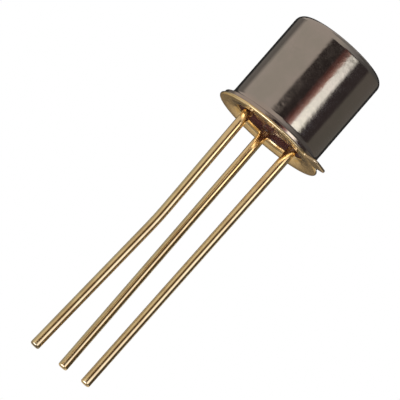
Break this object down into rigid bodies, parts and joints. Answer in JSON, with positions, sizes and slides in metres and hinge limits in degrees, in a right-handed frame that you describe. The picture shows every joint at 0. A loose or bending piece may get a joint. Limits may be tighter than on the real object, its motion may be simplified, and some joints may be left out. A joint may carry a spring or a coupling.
{
  "type": "bipolar transistor",
  "caption": "Small-signal transistor: a flanged metal can on a gold-plated header with an index tab, with wire leads sealed in glass.",
  "frame": {"origin": "centre of the seating plane, the underside of the header's flange", "axes": "+Z along the can towards its closed top, with the leads pointing down; the emitter lead is at +X, the collector lead at -X and the base lead at +Y; the index tab points midway between +X and -Y"},
  "size_m": [0.0054, 0.0054, 0.0186],
  "materials": {
    "can_metal": "dull dark nickel plating on a drawn steel can",
    "gold_plating": "satin gold plating on stamped and drawn metal",
    "seal_glass": "opaque dark glass with a glossy fired surface",
    "silicon": "polished silicon",
    "contact_metal": "thin bright film",
    "gold_wire": "bright drawn gold"
  },
  "bodies": {
    "root": {"can": "can_metal", "header": "gold_plating", "glass_seal": "seal_glass", "collector_lead": "gold_plating", "base_lead": "gold_plating", "emitter_lead": "gold_plating", "die_preform": "gold_wire", "die": "silicon", "base_contact": "contact_metal", "emitter_contact": "contact_metal", "base_wire": "gold_wire", "emitter_wire": "gold_wire"}
  },
  "joints": []
}
